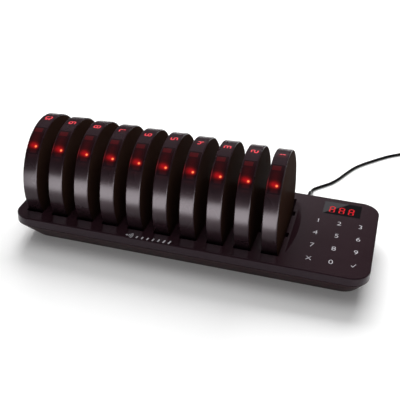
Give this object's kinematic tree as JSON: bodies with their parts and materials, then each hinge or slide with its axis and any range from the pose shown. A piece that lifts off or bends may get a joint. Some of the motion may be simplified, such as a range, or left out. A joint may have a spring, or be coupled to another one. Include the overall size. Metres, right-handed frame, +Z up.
{
  "type": "guest pager charging set",
  "caption": "Charging base with keypad and display, holding round coaster pagers in slots, with a thin power lead and wall adapter.",
  "frame": {"origin": "on the table, under the middle of the base's outline", "axes": "+X to the right along the base towards the keypad, +Y to the back, +Z up"},
  "size_m": [0.4038, 0.3161, 0.1039],
  "materials": {
    "housing": "near-black moulded plastic, satin gloss",
    "underside": "near-black moulded plastic",
    "pager_shell": "near-black moulded plastic, satin gloss",
    "pager_cover": "near-black fine-textured plastic",
    "smoked_window": "smoked red-black translucent plastic",
    "display_lens": "black gloss lens",
    "led_block": "red light block",
    "circuit_board": "green solder mask",
    "battery_wrap": "blue wrap",
    "steel": "bright steel",
    "contact_metal": "gold-flashed brass",
    "black_component": "black moulded component",
    "rubber": "black rubber",
    "cord_jacket": "black PVC jacket",
    "adapter_shell": "black fine-textured plastic",
    "blade_metal": "nickel-plated",
    "ribbon": "light flat cable"
  },
  "bodies": {
    "base": {"top_housing": "housing", "bottom_housing": "underside", "display_window": "display_lens", "display_module": "led_block", "keypad_board": "circuit_board", "main_board": "circuit_board", "rf_shield_can": "steel", "charging_board": "circuit_board", "charging_contacts": "contact_metal", "dc_jack": "black_component", "antenna": "contact_metal", "base_buzzer": "black_component", "ribbon_cables": "ribbon", "rubber_feet": "rubber", "housing_screws": "steel", "cord_coil": "cord_jacket", "cord": "cord_jacket", "dc_plug": "cord_jacket", "adapter_body": "adapter_shell", "adapter_blades": "blade_metal", "adapter_strain_relief": "cord_jacket"},
    "pager_01": {"pager_01_top_shell": "pager_shell", "pager_01_back_cover": "pager_cover", "pager_01_light_window": "smoked_window", "pager_01_circuit_board": "circuit_board", "pager_01_battery": "battery_wrap", "pager_01_vibration_motor": "steel", "pager_01_buzzer": "black_component", "pager_01_number_display": "led_block", "pager_01_indicator_leds": "led_block", "pager_01_charge_contacts": "contact_metal", "pager_01_cover_screws": "steel"},
    "pager_01_motor_weight": {"pager_01_motor_weight": "steel"},
    "pager_02": {"pager_02_top_shell": "pager_shell", "pager_02_back_cover": "pager_cover", "pager_02_insides": "circuit_board"},
    "pager_03": {"pager_03_top_shell": "pager_shell", "pager_03_back_cover": "pager_cover", "pager_03_insides": "circuit_board"},
    "pager_04": {"pager_04_top_shell": "pager_shell", "pager_04_back_cover": "pager_cover", "pager_04_insides": "circuit_board"},
    "pager_05": {"pager_05_top_shell": "pager_shell", "pager_05_back_cover": "pager_cover", "pager_05_insides": "circuit_board"},
    "pager_06": {"pager_06_top_shell": "pager_shell", "pager_06_back_cover": "pager_cover", "pager_06_insides": "circuit_board"},
    "pager_07": {"pager_07_top_shell": "pager_shell", "pager_07_back_cover": "pager_cover", "pager_07_insides": "circuit_board"},
    "pager_08": {"pager_08_top_shell": "pager_shell", "pager_08_back_cover": "pager_cover", "pager_08_insides": "circuit_board"},
    "pager_09": {"pager_09_top_shell": "pager_shell", "pager_09_back_cover": "pager_cover", "pager_09_insides": "circuit_board"},
    "pager_10": {"pager_10_top_shell": "pager_shell", "pager_10_back_cover": "pager_cover", "pager_10_insides": "circuit_board"}
  },
  "joints": [
    {"name": "pager_01_lift", "type": "slide", "parent": "base", "child": "pager_01", "axis": [-0.0481, 0, 0.9988], "range_m": [0, 0.08]},
    {"name": "pager_02_lift", "type": "slide", "parent": "base", "child": "pager_02", "axis": [-0.0481, 0, 0.9988], "range_m": [0, 0.08]},
    {"name": "pager_03_lift", "type": "slide", "parent": "base", "child": "pager_03", "axis": [-0.0481, 0, 0.9988], "range_m": [0, 0.08]},
    {"name": "pager_04_lift", "type": "slide", "parent": "base", "child": "pager_04", "axis": [-0.0481, 0, 0.9988], "range_m": [0, 0.08]},
    {"name": "pager_05_lift", "type": "slide", "parent": "base", "child": "pager_05", "axis": [-0.0481, 0, 0.9988], "range_m": [0, 0.08]},
    {"name": "pager_06_lift", "type": "slide", "parent": "base", "child": "pager_06", "axis": [-0.0481, 0, 0.9988], "range_m": [0, 0.08]},
    {"name": "pager_07_lift", "type": "slide", "parent": "base", "child": "pager_07", "axis": [-0.0481, 0, 0.9988], "range_m": [0, 0.08]},
    {"name": "pager_08_lift", "type": "slide", "parent": "base", "child": "pager_08", "axis": [-0.0481, 0, 0.9988], "range_m": [0, 0.08]},
    {"name": "pager_09_lift", "type": "slide", "parent": "base", "child": "pager_09", "axis": [-0.0481, 0, 0.9988], "range_m": [0, 0.08]},
    {"name": "pager_10_lift", "type": "slide", "parent": "base", "child": "pager_10", "axis": [-0.0481, 0, 0.9988], "range_m": [0, 0.08]},
    {"name": "pager_01_motor_spin", "type": "hinge", "parent": "pager_01", "child": "pager_01_motor_weight", "pos_m": [0.07371, 0.0049, 0.02866], "axis": [0, 1, 0], "continuous": true}
  ]
}
